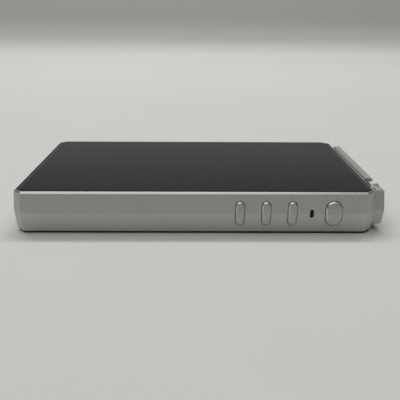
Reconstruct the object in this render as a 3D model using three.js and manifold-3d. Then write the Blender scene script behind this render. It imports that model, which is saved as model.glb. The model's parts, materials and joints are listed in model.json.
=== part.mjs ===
// Touch-screen music player, lying on its back. Millimetres, +Z up out of the screen.
// Origin: centre of the body's underside. +X is the top end, with the volume wheel. The buttons
// are on the -Y side.
import * as THREE from 'three';
import { ConvexGeometry } from 'three/addons/geometries/ConvexGeometry.js';
import { mergeVertices } from 'three/addons/utils/BufferGeometryUtils.js';
import Module from 'manifold-3d';

// ---- Driving dimensions -------------------------------------------------------------------

// Body
const bodyLength = 118;        // ridge to ridge, without the guard
const bodyWidth = 67.6;        // ridge to ridge
const bodyHeight = 14.2;       // underside to glass face
const ridgeHeight = 7.15;      // height of the ridge of the V-section sides
const facetLean = 0.55;        // how far the ridge stands out past the edge of each facet
const edgeChamfer = 0.7;       // bright chamfer round the glass
const footChamfer = 0.3;       // small chamfer at the frame's lower edge
const cornerCut = 3;           // 45 degree corner cut, measured at the ridge
const wall = 1.8;              // ridge to inner face
const floorThickness = 0.7;    // web between the display and the boards

// Glass, display and cover
const glassThickness = 0.8;
const glassBevel = 0.25;
const glassEdgeGap = 0.15;
const glassLedge = 1.6;        // width of the ledge that carries the glass
const tapeGap = 0.2;           // glass to ledge
const tapeThickness = 0.1;
const displayThickness = 1.1;
const displayGap = 0.1;
const coverThickness = 0.5;
const coverGap = 0.1;
const coverInset = 0.15;       // cover edge inside the frame's lower edge
const coverBevel = 0.15;
const coverLedge = 1.6;
const coverLedgeHeight = 0.8;

// Guard and volume wheel
const guardReach = 3.5;        // past the body's ridge
const guardSeat = 0.1;         // guard to the body's V section
const guardGroove = 0.85;      // depth of the groove between the guard and the rim
const guardChamfer = 0.55;
const guardFoot = 2.1;         // underside of the guard above the table
const guardSetback = 0.4;      // guard's near face behind the end of the corner cut
const postWidth = 3.3;
const notchWidth = 9.9;
const notchEdge = 0.35;
const barLength = 44;
const wheelSideGap = 0.35;      // wheel to the notch's sides
const wheelDrop = 0.15;        // top of the wheel below the glass face
const wheelEdge = 0.4;
const wheelOuterSetback = 0.3; // wheel's outer face inside the guard's ridge
const wheelBackGap = 0.3;      // wheel to the body's ridge
const knurlCount = 40;
const knurlDepth = 0.22;
const shaftRadius = 0.75;
const shaftGap = 0.05;
const shaftSetback = 1;        // end of the shaft inside the wheel's outer face
const bushRadius = 1.25;
const bushHeadRadius = 1.65;
const bushHeadThickness = 0.4;
const encoderWidth = 6.6;
const encoderLength = 5;
const fitGap = 0.15;           // around seated pieces

// Buttons and indicator
const buttonPitch = 8.5;
const firstButtonX = 14.6;     // previous button, from the middle of the body
const buttonWidth = 2.8;
const buttonLength = 8;
const powerX = 44.95;
const powerWidth = 5.3;
const powerLength = 8.3;
const buttonProud = 0.65;
const buttonBevel = 0.3;
const buttonGap = 0.12;
const buttonTravel = 0.3;
const flangeLip = 0.6;
const flangeThickness = 0.5;
const stubWidth = 1.6;
const stubLength = 0.35;
const switchNub = 0.3;
const indicatorX = 37.9;
const indicatorWidth = 1;
const indicatorLength = 2.5;
const indicatorDepth = 2.65;
const lampSize = 1.6;

// Switches, key board and bracket
const switchWidth = 3.2;
const switchHeight = 3;
const switchDepth = 0.9;
const keyBoardThickness = 0.6;
const keyBoardHeight = 7.4;
const keyBoardMargin = 4;      // past the outermost buttons
const bracketThickness = 0.5;
const bracketTab = 3.2;
const bossInWall = 0.2;        // bracket boss runs into the wall
const solderGap = 0.05;

// Boards and screws
const boardThickness = 1;
const boardEdgeGap = 0.6;
const mainBoardLength = 36;
const bottomBoardLength = 14.6;
const bossRadius = 1.9;
const screwRadius = 0.6;
const screwHeadRadius = 1.3;
const screwHeadHeight = 0.6;
const screwLength = 3.6;
const screwGap = 0.12;
const slotDepth = 0.3;
const slotWidth = 0.3;
const slotReach = 0.7;         // share of the head's radius
const holeSetIn = 3;           // board screw to the board's long edge
const mainHoleSetIn = [3.4, 10]; // screw to the main board's inner and outer end

// Battery and ribbons
const batteryGap = 1;
const batteryThickness = 7.8;
const batteryRound = 0.8;
const batteryFoot = 0.2;       // battery above the cover ledge
const protectionLength = 2.6;
const protectionHeight = 4;
const protectionWidth = 40;
const leadY = [14.5, 18.5];
const leadReach = 5;           // over the main board
const foamSetIn = [6, 10];     // from the cell's two ends
const ribbonThickness = 0.2;
const ribbonWidth = 12;
const displayRibbonY = 7;
const ribbonSlotReach = [0.4, 1.4]; // either side of the main board's inner end
const linkRibbonY = -6.5;
const plugHeight = 1;
const linkReach = [1, 2];      // over the bottom board and over the main board
const plugWidth = 2.8;
const plugShift = 0.6;         // plug past the end of its ribbon
const ribbonFootLength = 4;

// Ports
const phoneBore = 1.8;
const phoneBarrel = 2.6;
const phoneBodyWidth = 6.4;
const phoneBodyHeight = 5.4;
const phoneBodyLength = 12.4;
const balancedBore = 2.25;
const balancedBarrel = 3.3;
const balancedBodyWidth = 8.6;
const balancedBodyHeight = 7.2;
const balancedBodyLength = 13.4;
const usbWidth = 8.9;
const usbHeight = 3.2;
const usbShell = 0.3;
const usbLength = 7.4;
const usbTongue = 0.7;
const tongueMargin = 1.2;      // tongue to the shell's sides
const backWall = 1;            // closed end of a socket or jack
const cardWidth = 11.4;
const cardThickness = 0.9;
const cardSocketWidth = 14;
const cardSocketLength = 15;
const cardSocketHeight = 1.5;
const cardSetIn = 14;          // middle of the card slot from the main board's inner end
const phoneY = -17;
const balancedY = 17;
const usbY = 0;

// Shields, screws of the guard, antenna
const shieldThickness = 0.25;
const shieldHeight = 2.4;
const processorShieldX = [7.4, 30]; // from the main board's inner end
const processorShieldY = [-2.2, 10.6];
const audioShieldX = [8, 21.4];
const audioShieldY = [-21.6, -7];
const guardScrewRise = 1.4;    // above the ridge
const guardScrewSetIn = [5, 6]; // from the bar's near and far end
const guardScrewLength = 4.6;
const antennaThickness = 0.15;
const antennaX = [-30, 4];
const antennaY = [-24, -12];

// Working values
const cutPast = 1;             // how far a cutter runs past a face
const skin = 0.02;             // overlap of joined pieces
const roundSteps = 20;         // straight steps in a full circle of a small round shape

// ---- Levels and faces worked out from them --------------------------------------------------

const halfLength = bodyLength / 2;
const halfWidth = bodyWidth / 2;
const frameFoot = coverThickness + coverGap;
const glassFoot = bodyHeight - glassThickness;
const ledgeHeight = glassFoot - tapeGap;
const displayTop = ledgeHeight - displayGap;
const displayFoot = displayTop - displayThickness;
const floorTop = displayFoot - displayGap;
const floorFoot = floorTop - floorThickness;
const rimInset = facetLean + edgeChamfer;
const innerX = halfLength - wall;
const innerY = halfWidth - wall;
const boardTop = ridgeHeight - usbHeight / 2 - 2 * solderGap;
const boardFoot = boardTop - boardThickness;
const mainBoardEnd = innerX - boardEdgeGap;
const mainBoardStart = mainBoardEnd - mainBoardLength;
const bottomBoardStart = -innerX + boardEdgeGap;
const bottomBoardEnd = bottomBoardStart + bottomBoardLength;
const flangeFront = -innerY + fitGap;
const switchFront = flangeFront + flangeThickness + stubLength + buttonTravel + fitGap;
const keyBoardFront = switchFront + switchDepth + solderGap;
const bracketFront = keyBoardFront + keyBoardThickness + fitGap;
const bracketBack = bracketFront + bracketThickness;
const boardNearY = bracketBack + boardEdgeGap;
const boardFarY = innerY - boardEdgeGap;
const guardNearY = -halfWidth + cornerCut + guardSetback;
const wheelRadius = notchWidth / 2 - wheelSideGap;
const wheelY = guardNearY + postWidth + notchWidth / 2;
const wheelZ = Math.min(bodyHeight - wheelDrop - wheelRadius, // as high as the bush allows
  floorFoot - solderGap - bushHeadRadius);
const guardInnerX = halfLength + guardSeat;
const guardRootX = halfLength - facetLean;
const guardOuterX = halfLength + guardReach;

const wasm = await Module();
wasm.setup();

// ---- Solids -------------------------------------------------------------------------------------

// A closed three.js geometry as a solid that can be joined and cut.
function solid(geometry) {
  geometry.deleteAttribute('normal');
  geometry.deleteAttribute('uv');
  const merged = mergeVertices(geometry);
  return new wasm.Manifold(new wasm.Mesh({
    numProp: 3,
    vertProperties: merged.attributes.position.array,
    triVerts: merged.index.array,
  }));
}

function geometryOf(shape) {
  const mesh = shape.getMesh();
  const geometry = new THREE.BufferGeometry();
  geometry.setAttribute('position', new THREE.BufferAttribute(mesh.vertProperties, 3));
  geometry.setIndex(new THREE.BufferAttribute(mesh.triVerts, 1));
  geometry.computeVertexNormals();
  return geometry;
}

function box([x0, x1], [y0, y1], [z0, z1]) {
  const geometry = new THREE.BoxGeometry(x1 - x0, y1 - y0, z1 - z0);
  return solid(geometry.translate((x0 + x1) / 2, (y0 + y1) / 2, (z0 + z1) / 2));
}

function extrude(shape, depth) {
  return new THREE.ExtrudeGeometry(shape, {
    depth, bevelEnabled: false, curveSegments: roundSteps / 2,
  });
}

// Prisms along each axis. The outline's own x and y are the two other axes in X, Y, Z order.
function prismZ(shape, z0, z1) {
  return solid(extrude(shape, z1 - z0).translate(0, 0, z0));
}

function prismY(shape, y0, y1) {
  return solid(extrude(shape, y1 - y0).rotateX(Math.PI / 2).translate(0, y1, 0));
}

function prismX(shape, x0, x1) {
  const turn = new THREE.Matrix4().makeBasis(
    new THREE.Vector3(0, 1, 0), new THREE.Vector3(0, 0, 1), new THREE.Vector3(1, 0, 0));
  return solid(extrude(shape, x1 - x0).applyMatrix4(turn).translate(x0, 0, 0));
}

function outline(points) {
  return new THREE.Shape(points.map(([x, y]) => new THREE.Vector2(x, y)));
}

function circlePoints(radius, steps, x = 0, y = 0) {
  const points = [];
  for (let i = 0; i < steps; i += 1) {
    const angle = (2 * Math.PI * (i + 0.5)) / steps;
    points.push([x + radius * Math.cos(angle), y + radius * Math.sin(angle)]);
  }
  return points;
}

function circle(radius, x = 0, y = 0) {
  return outline(circlePoints(radius, roundSteps, x, y));
}

// Points of a slot with round ends, whose long side runs along the second axis.
function obroundPoints(width, length, x = 0, y = 0) {
  const radius = width / 2;
  const reach = (length - width) / 2;
  const points = [];
  for (const [start, side] of [[0, 1], [Math.PI, -1]]) {
    for (let i = 0; i <= roundSteps / 2; i += 1) {
      const angle = start + (2 * Math.PI * i) / roundSteps;
      points.push([x + radius * Math.cos(angle), y + side * reach + radius * Math.sin(angle)]);
    }
  }
  return points;
}

// A round-ended slot grown by a gap: upright, and lying along the first axis.
function slot(width, length, gap, x, y) {
  return outline(obroundPoints(width + 2 * gap, length + 2 * gap, x, y));
}

function lyingSlot(length, height, gap, x, y) {
  return outline(obroundPoints(height + 2 * gap, length + 2 * gap).map(([a, b]) => [x - b, y + a]));
}

// Body outline drawn in from the ridge by an inset. The corner cuts stay parallel.
function bodyRing(inset) {
  const cut = cornerCut - (2 - Math.SQRT2) * inset;
  const x = halfLength - inset;
  const y = halfWidth - inset;
  return [[x - cut, y], [-x + cut, y], [-x, y - cut], [-x, -y + cut],
    [-x + cut, -y], [x - cut, -y], [x, -y + cut], [x, y - cut]];
}

// Convex solid through rings of points at several heights.
function hullOfRings(rings) {
  const points = [];
  for (const [ring, z] of rings) {
    for (const [x, y] of ring) points.push(new THREE.Vector3(x, y, z));
  }
  return solid(new ConvexGeometry(points));
}

const parts = new THREE.Group();

function assembly(name) {
  const group = new THREE.Group();
  group.name = name;
  parts.add(group);
  return group;
}

function add(group, name, shape, finish, position = [0, 0, 0], turn = [0, 0, 0]) {
  const [color, roughness, metalness] = finish;
  const material = new THREE.MeshStandardMaterial({ color, roughness, metalness });
  const mesh = new THREE.Mesh(geometryOf(shape), material);
  mesh.name = name;
  mesh.position.set(...position);
  mesh.rotation.set(...turn);
  group.add(mesh);
}

// Finishes: colour, roughness, metalness
const anodised = [0xb4b6b1, 0.45, 0.9];
const steel = [0xa8a9a7, 0.35, 1];
const brass = [0xb89b5e, 0.35, 1];
const blackGlass = [0x0c0d0f, 0.08, 0];
const blackPlastic = [0x17181a, 0.5, 0];
const boardGreen = [0x1c3a2c, 0.5, 0];
const chipBlack = [0x202224, 0.45, 0];
const foilSilver = [0xc2c3c0, 0.4, 0.7];
const amber = [0xa86a1e, 0.5, 0];
const foam = [0x2c2c2e, 0.95, 0];
const smoked = [0x10141c, 0.15, 0];

// ---- Frame --------------------------------------------------------------------------------------

const holeYs = [boardNearY + holeSetIn, boardFarY - holeSetIn];
const mainBoardHoles = [mainBoardStart + mainHoleSetIn[0], mainBoardEnd - mainHoleSetIn[1]].flatMap(
  (x) => holeYs.map((y) => [x, y]));
const bottomBoardHoles = holeYs.map((y) => [bottomBoardEnd - holeSetIn, y]);
const buttonXs = [0, 1, 2].map((i) => firstButtonX + i * buttonPitch);
const keyBoardStart = firstButtonX - keyBoardMargin;
const keyBoardEnd = powerX + keyBoardMargin;
const bracketBosses = [keyBoardStart - bracketTab, keyBoardEnd + bracketTab].map(
  (x) => [x, -innerY + bossRadius - bossInWall]);
const bracketTabTop = ridgeHeight - fitGap;
const guardFarY = guardNearY + postWidth + notchWidth + barLength;
const guardScrews = [guardFarY - barLength + guardScrewSetIn[0], guardFarY - guardScrewSetIn[1]].map(
  (y) => [y, ridgeHeight + guardScrewRise]);
const cardX = mainBoardStart + cardSetIn;
const cardZ = boardTop + solderGap + cardSocketHeight / 2;
const ribbonSlot = [mainBoardStart - ribbonSlotReach[0], mainBoardStart + ribbonSlotReach[1]];

function boss([x, y], foot) {
  const tube = prismZ(circle(bossRadius, x, y), foot, floorFoot + skin);
  const pilot = prismZ(circle(screwRadius + screwGap, x, y), foot - cutPast, floorFoot);
  return tube.subtract(pilot);
}

function mainFrame() {
  let frame = hullOfRings([
    [bodyRing(facetLean + footChamfer), frameFoot],
    [bodyRing(facetLean), frameFoot + footChamfer],
    [bodyRing(0), ridgeHeight],
    [bodyRing(facetLean), bodyHeight - edgeChamfer],
    [bodyRing(rimInset), bodyHeight],
  ]);
  const pocket = (inset, z0, z1) => prismZ(outline(bodyRing(inset)), z0, z1);
  const nearWall = [-halfWidth - cutPast, -innerY + skin];
  const farWall = [innerY - skin, halfWidth + cutPast];
  const bottomEnd = [-halfLength - cutPast, -innerX + skin];
  const topEnd = [innerX - skin, halfLength + cutPast];
  const coverSeat = frameFoot + coverLedgeHeight;
  const slotHalf = ribbonWidth / 2 + fitGap;
  frame = frame
    .subtract(pocket(rimInset, ledgeHeight, bodyHeight + cutPast))
    .subtract(pocket(rimInset + glassLedge, floorTop, ledgeHeight + skin))
    .subtract(pocket(wall, coverSeat, floorFoot))
    .subtract(pocket(wall + coverLedge, frameFoot - cutPast, coverSeat + skin));
  for (const place of [...mainBoardHoles, ...bottomBoardHoles]) {
    frame = frame.add(boss(place, boardTop + solderGap));
  }
  for (const place of bracketBosses) frame = frame.add(boss(place, bracketTabTop + solderGap));
  for (const x of buttonXs) {
    frame = frame.subtract(
      prismY(slot(buttonWidth, buttonLength, buttonGap, x, ridgeHeight), ...nearWall));
  }
  for (const [y, z] of guardScrews) {
    frame = frame.subtract(prismX(circle(screwRadius + screwGap, y, z), ...topEnd));
  }
  return frame
    .subtract(prismY(slot(powerWidth, powerLength, buttonGap, powerX, ridgeHeight), ...nearWall))
    .subtract(prismY(
      slot(indicatorWidth, indicatorLength, buttonGap, indicatorX, ridgeHeight), ...nearWall))
    .subtract(prismX(circle(phoneBarrel + fitGap, phoneY, ridgeHeight), ...bottomEnd))
    .subtract(prismX(circle(balancedBarrel + fitGap, balancedY, ridgeHeight), ...bottomEnd))
    .subtract(prismX(lyingSlot(usbWidth, usbHeight, fitGap, usbY, ridgeHeight), ...bottomEnd))
    .subtract(prismY(lyingSlot(cardWidth, cardThickness, fitGap, cardX, cardZ), ...farWall))
    .subtract(prismX(circle(bushRadius + fitGap, wheelY, wheelZ), ...topEnd))
    .subtract(box(ribbonSlot, [displayRibbonY - slotHalf, displayRibbonY + slotHalf],
      [floorFoot - cutPast, floorTop + cutPast]));
}

const enclosure = assembly('enclosure');
add(enclosure, 'main_frame', mainFrame(), anodised);

// ---- Front glass, display and cover ---------------------------------------------------------------

const front = assembly('front');
const glassInset = rimInset + glassEdgeGap;
add(front, 'front_glass', hullOfRings([
  [bodyRing(glassInset), glassFoot],
  [bodyRing(glassInset), bodyHeight - glassBevel],
  [bodyRing(glassInset + glassBevel), bodyHeight],
]), blackGlass);

const tapeFoot = ledgeHeight + (tapeGap - tapeThickness) / 2;
const tapeRing = [glassInset + fitGap, rimInset + glassLedge - fitGap].map(
  (inset, i) => prismZ(outline(bodyRing(inset)), tapeFoot - i, tapeFoot + tapeThickness + i));
add(front, 'glass_tape', tapeRing[0].subtract(tapeRing[1]), foam);

const displayInset = rimInset + glassLedge + fitGap;
add(front, 'display_panel', prismZ(outline(bodyRing(displayInset)), displayFoot, displayTop),
  blackPlastic);

const ribbonX = (ribbonSlot[0] + ribbonSlot[1] - ribbonThickness) / 2;
const ribbonY = [displayRibbonY - ribbonWidth / 2, displayRibbonY + ribbonWidth / 2];
const ribbonFoot = boardTop + solderGap;
add(front, 'display_ribbon', box([ribbonX, ribbonX + ribbonThickness], ribbonY,
  [ribbonFoot, displayFoot - solderGap]).add(
  box([ribbonX, ribbonX + ribbonFootLength], ribbonY, [ribbonFoot, ribbonFoot + ribbonThickness])), amber);

const coverEdge = facetLean + footChamfer + coverInset;
add(enclosure, 'back_cover', hullOfRings([
  [bodyRing(coverEdge + coverBevel), 0],
  [bodyRing(coverEdge), coverBevel],
  [bodyRing(coverEdge), coverThickness],
]), blackGlass);

const antennaFoot = coverThickness + solderGap;
add(enclosure, 'radio_antenna', box(antennaX, antennaY,
  [antennaFoot, antennaFoot + antennaThickness]), amber);

// ---- Guard and volume wheel -------------------------------------------------------------------------

// The guard's near, far and outer faces follow the body's V section.
function guardRing(inset) {
  const [y0, y1] = [guardNearY + inset, guardFarY - inset];
  const x = guardOuterX - inset;
  return [[guardRootX, y0], [x, y0], [x, y1], [guardRootX, y1]];
}

// Open-topped notch with a round floor, as an outline across the guard.
function notchOutline() {
  const half = notchWidth / 2;
  const points = [];
  for (let i = 0; i <= roundSteps / 2; i += 1) {
    const angle = Math.PI + (2 * Math.PI * i) / roundSteps;
    points.push([wheelY + half * Math.cos(angle), wheelZ + half * Math.sin(angle)]);
  }
  const top = bodyHeight + cutPast;
  return outline([...points, [wheelY + half, bodyHeight - notchEdge],
    [wheelY + half + notchEdge, bodyHeight], [wheelY + half + notchEdge, top],
    [wheelY - half - notchEdge, top], [wheelY - half - notchEdge, bodyHeight],
    [wheelY - half, bodyHeight - notchEdge]]);
}

// The body's V section as the guard takes it in, then a step back for the groove along the rim.
function seatOutline(slope) {
  const [low, high] = [guardFoot - cutPast, bodyHeight + cutPast];
  const groove = bodyHeight - guardGroove;
  return outline([[guardRootX - cutPast, low], [guardInnerX - slope * (ridgeHeight - low), low],
    [guardInnerX, ridgeHeight], [guardInnerX - slope * (groove - ridgeHeight), groove],
    [guardInnerX, groove], [guardInnerX, high], [guardRootX - cutPast, high]]);
}

function endGuard() {
  const slope = facetLean / (bodyHeight - edgeChamfer - ridgeHeight);
  const shoulder = bodyHeight - guardChamfer;
  const topInset = slope * (shoulder - ridgeHeight);
  let guard = hullOfRings([
    [guardRing(slope * (ridgeHeight - guardFoot)), guardFoot],
    [guardRing(0), ridgeHeight],
    [guardRing(topInset), shoulder],
    [guardRing(topInset + guardChamfer), bodyHeight],
  ]).subtract(prismY(seatOutline(slope), guardNearY - cutPast, guardFarY + cutPast))
    .subtract(prismX(notchOutline(), guardInnerX - cutPast, guardOuterX + cutPast));
  const holeEnd = innerX + guardScrewLength + fitGap;
  for (const [y, z] of guardScrews) {
    guard = guard.subtract(prismX(circle(screwRadius + screwGap, y, z), guardInnerX - cutPast, holeEnd));
  }
  return guard;
}

add(enclosure, 'end_guard', endGuard(), anodised);

const wheelGroup = assembly('wheel');
const wheelBack = halfLength + wheelBackGap;
const wheelFront = guardOuterX - wheelOuterSetback;
const shaftEnd = wheelFront - shaftSetback;
const encoderEnd = innerX - bushHeadThickness - 2 * fitGap;
const encoderStart = encoderEnd - encoderLength;

// Knurled rim with chamfered edges, bored from the back for the shaft.
function volumeWheel() {
  const rim = [];
  for (let i = 0; i < 2 * knurlCount; i += 1) {
    const radius = wheelRadius - (i % 2) * knurlDepth;
    const angle = (Math.PI * i) / knurlCount;
    rim.push([wheelY + radius * Math.cos(angle), wheelZ + radius * Math.sin(angle)]);
  }
  const disc = (radius, x) => circlePoints(radius, 2 * roundSteps).map(
    ([a, b]) => new THREE.Vector3(x, wheelY + a, wheelZ + b));
  const wide = wheelRadius + skin;
  const barrel = solid(new ConvexGeometry([
    ...disc(wide - wheelEdge, wheelBack), ...disc(wide, wheelBack + wheelEdge),
    ...disc(wide, wheelFront - wheelEdge), ...disc(wide - wheelEdge, wheelFront)]));
  return prismX(outline(rim), wheelBack, wheelFront)
    .intersect(barrel)
    .subtract(prismX(circle(shaftRadius + shaftGap, wheelY, wheelZ), wheelBack - cutPast,
      shaftEnd + shaftGap));
}

add(wheelGroup, 'volume_wheel', volumeWheel(), steel);
add(wheelGroup, 'wheel_shaft', prismX(circle(shaftRadius, wheelY, wheelZ),
  encoderStart + shaftSetback, shaftEnd), steel);

const bushBody = prismX(circle(bushRadius, wheelY, wheelZ), innerX - fitGap - skin,
  halfLength - facetLean);
const bushHead = prismX(circle(bushHeadRadius, wheelY, wheelZ),
  innerX - fitGap - bushHeadThickness, innerX - fitGap);
const shaftBore = circle(shaftRadius + shaftGap, wheelY, wheelZ);
const throughEnd = [innerX - encoderLength - 2 * cutPast, halfLength + cutPast];
add(wheelGroup, 'wheel_bush', bushHead.add(bushBody).subtract(prismX(shaftBore, ...throughEnd)),
  brass);
add(wheelGroup, 'wheel_encoder', box([encoderStart, encoderEnd],
  [wheelY - encoderWidth / 2, wheelY + encoderWidth / 2],
  [boardTop + solderGap, floorFoot - fitGap]).subtract(prismX(shaftBore, ...throughEnd)), blackPlastic);

// ---- Screws -----------------------------------------------------------------------------------------

// Seat at z = 0, shank up, head down with a crossed recess.
function screw(length) {
  const reach = screwHeadRadius * slotReach;
  const recess = [-screwHeadHeight - cutPast, -screwHeadHeight + slotDepth];
  const arm = [-slotWidth / 2, slotWidth / 2];
  return prismZ(circle(screwHeadRadius), -screwHeadHeight, 0)
    .add(prismZ(circle(screwRadius), -skin, length))
    .subtract(box([-reach, reach], arm, recess))
    .subtract(box(arm, [-reach, reach], recess));
}

const fasteners = assembly('fasteners');
mainBoardHoles.forEach(([x, y], i) => {
  add(fasteners, `main_board_screw_${i + 1}`, screw(screwLength), steel,
    [x, y, boardFoot - solderGap]);
});
bottomBoardHoles.forEach(([x, y], i) => {
  add(fasteners, `bottom_board_screw_${i + 1}`, screw(screwLength), steel,
    [x, y, boardFoot - solderGap]);
});
bracketBosses.forEach(([x, y], i) => {
  add(fasteners, `bracket_screw_${i + 1}`, screw(screwLength), steel,
    [x, y, bracketTabTop - bracketThickness - solderGap]);
});
guardScrews.forEach(([y, z], i) => {
  add(fasteners, `guard_screw_${i + 1}`, screw(guardScrewLength), steel,
    [innerX - solderGap, y, z], [0, Math.PI / 2, 0]);
});

// ---- Boards -----------------------------------------------------------------------------------------

const electronics = assembly('electronics');

// A board between two ends, with the pocket's corner cuts and its screw holes.
function board(x0, x1, holes) {
  let plate = box([x0, x1], [boardNearY, boardFarY], [boardFoot, boardTop])
    .intersect(prismZ(outline(bodyRing(wall + boardEdgeGap)), 0, bodyHeight));
  for (const [x, y] of holes) {
    plate = plate.subtract(prismZ(circle(screwRadius + screwGap, x, y),
      boardFoot - cutPast, boardTop + cutPast));
  }
  return plate;
}

add(electronics, 'main_board', board(mainBoardStart, mainBoardEnd, mainBoardHoles), boardGreen);

// A jack: a box behind the wall, a barrel through the wall and a blind bore.
function jack(y, bore, barrel, [length, width, height]) {
  const back = -innerX + fitGap;
  return box([back, back + length], [y - width / 2, y + width / 2],
    [ridgeHeight - height / 2, ridgeHeight + height / 2])
    .add(prismX(circle(barrel, y, ridgeHeight), -halfLength + fitGap, back + skin))
    .subtract(prismX(circle(bore, y, ridgeHeight), -halfLength - cutPast, back + length - backWall));
}

const phoneBody = [phoneBodyLength, phoneBodyWidth, phoneBodyHeight];
const balancedBody = [balancedBodyLength, balancedBodyWidth, balancedBodyHeight];
add(electronics, 'headphone_jack', jack(phoneY, phoneBore, phoneBarrel, phoneBody), blackPlastic);
add(electronics, 'balanced_jack', jack(balancedY, balancedBore, balancedBarrel, balancedBody),
  blackPlastic);

let bottomBoard = board(bottomBoardStart, bottomBoardEnd, bottomBoardHoles);
for (const [y, [length, width]] of [[phoneY, phoneBody], [balancedY, balancedBody]]) {
  bottomBoard = bottomBoard.subtract(box(
    [bottomBoardStart - cutPast, -innerX + length + 2 * fitGap],
    [y - width / 2 - fitGap, y + width / 2 + fitGap], [boardFoot - cutPast, boardTop + cutPast]));
}
add(electronics, 'bottom_board', bottomBoard, boardGreen);

function usbSocket() {
  const mouth = -halfLength + fitGap;
  const tube = (gap, x0, x1) => prismX(lyingSlot(usbWidth, usbHeight, gap, usbY, ridgeHeight), x0, x1);
  const back = mouth + usbLength;
  const tongueHalf = usbWidth / 2 - tongueMargin;
  return tube(0, mouth, back)
    .subtract(tube(-usbShell, mouth - cutPast, back - backWall))
    .add(box([mouth + backWall, back - backWall + skin], [usbY - tongueHalf, usbY + tongueHalf],
      [ridgeHeight - usbTongue / 2, ridgeHeight + usbTongue / 2]));
}

add(electronics, 'usb_socket', usbSocket(), steel);

const cardMouth = innerY - fitGap;
add(electronics, 'card_socket', box(
  [cardX - cardSocketWidth / 2, cardX + cardSocketWidth / 2],
  [cardMouth - cardSocketLength, cardMouth],
  [cardZ - cardSocketHeight / 2, cardZ + cardSocketHeight / 2]).subtract(box(
  [cardX - cardWidth / 2, cardX + cardWidth / 2],
  [cardMouth - cardSocketLength + 2 * backWall, cardMouth + cutPast],
  [cardZ - cardThickness / 2, cardZ + cardThickness / 2])), steel);

// Pieces on the board: offset from its start, middle in Y, length, width, height
const chips = [
  ['processor_chip', 8.4, 4.2, 10.6, 10.6, 1.3],
  ['memory_chip', 20.4, 4.2, 8.6, 10.6, 1],
  ['converter_chip_1', 9, -11.2, 6.4, 6.4, 1],
  ['converter_chip_2', 9, -18, 5.2, 5.2, 1],
  ['clock_oscillator', 17, -14.5, 3.2, 2.5, 1.1],
  ['amplifier_chip_1', 25, -11, 4.6, 4.6, 1],
  ['amplifier_chip_2', 25, -18, 4.6, 4.6, 1],
  ['capacitor_1', 30.5, 16, 3.2, 4.4, 3.4],
  ['capacitor_2', 30.5, 22, 3.2, 4.4, 3.4],
];

function onBoard([name, offset, y, length, width, height], finish) {
  const x = mainBoardStart + offset;
  add(electronics, name, box([x, x + length], [y - width / 2, y + width / 2],
    [boardTop + solderGap, boardTop + solderGap + height]), finish);
}

for (const chip of chips) onBoard(chip, chipBlack);

function shield([start, end], [y0, y1]) {
  const [x0, x1] = [mainBoardStart + start, mainBoardStart + end];
  const foot = boardTop + solderGap;
  const t = shieldThickness;
  return box([x0, x1], [y0, y1], [foot, foot + shieldHeight]).subtract(
    box([x0 + t, x1 - t], [y0 + t, y1 - t], [foot - cutPast, foot + shieldHeight - t]));
}

add(electronics, 'processor_shield', shield(processorShieldX, processorShieldY), foilSilver);
add(electronics, 'audio_shield', shield(audioShieldX, audioShieldY), foilSilver);

// ---- Battery and ribbons ------------------------------------------------------------------------------

const power = assembly('power');
const batteryFootZ = frameFoot + coverLedgeHeight + batteryFoot;
const batteryTop = batteryFootZ + batteryThickness;
const batteryStart = bottomBoardEnd + batteryGap;
const protectionEnd = mainBoardStart - batteryGap;
const protectionStart = protectionEnd - protectionLength;
const batteryEnd = protectionStart - fitGap;

function cellRing(inset) {
  return [[batteryStart + inset, boardNearY + inset], [batteryEnd - inset, boardNearY + inset],
    [batteryEnd - inset, boardFarY - inset], [batteryStart + inset, boardFarY - inset]];
}

add(power, 'battery_cell', hullOfRings([
  [cellRing(batteryRound), batteryFootZ], [cellRing(0), batteryFootZ + batteryRound],
  [cellRing(0), batteryTop - batteryRound], [cellRing(batteryRound), batteryTop],
]), foilSilver);
add(power, 'battery_board', box([protectionStart, protectionEnd],
  [-protectionWidth / 2, protectionWidth / 2],
  [batteryFootZ + batteryRound, batteryFootZ + batteryRound + protectionHeight]), boardGreen);
add(power, 'battery_lead', box([protectionEnd + solderGap, mainBoardStart + leadReach], leadY,
  [boardTop + solderGap, boardTop + solderGap + ribbonThickness]), blackPlastic);
add(power, 'battery_foam', box([batteryStart + foamSetIn[0], batteryEnd - foamSetIn[1]],
  [0, boardFarY - foamSetIn[0]],
  [batteryTop + solderGap, floorFoot - fitGap]), foam);

// Ribbon over the battery, turned down to a plug on each board.
const linkY = [linkRibbonY - ribbonWidth / 2, linkRibbonY + ribbonWidth / 2];
const linkZ = [batteryTop + fitGap, batteryTop + fitGap + ribbonThickness];
const linkEnds = [bottomBoardEnd - linkReach[0], mainBoardStart + linkReach[1]];
const plugTop = boardTop + solderGap + plugHeight;
const linkLegs = linkEnds.map((x, i) => box(
  i ? [x - ribbonThickness, x] : [x, x + ribbonThickness], linkY, [plugTop + solderGap, linkZ[1]]));
add(power, 'link_ribbon', box(linkEnds, linkY, linkZ).add(linkLegs[0]).add(linkLegs[1]), amber);
linkEnds.forEach((x, i) => {
  add(power, `link_plug_${i + 1}`, box(
    [-plugWidth / 2, plugWidth / 2].map((edge) => x + edge + (i ? plugShift : -plugShift)),
    [linkY[0] + plugHeight, linkY[1] - plugHeight], [boardTop + solderGap, plugTop]), blackPlastic);
});

// ---- Buttons, switches and indicator --------------------------------------------------------------------

const controls = assembly('controls');

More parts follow.
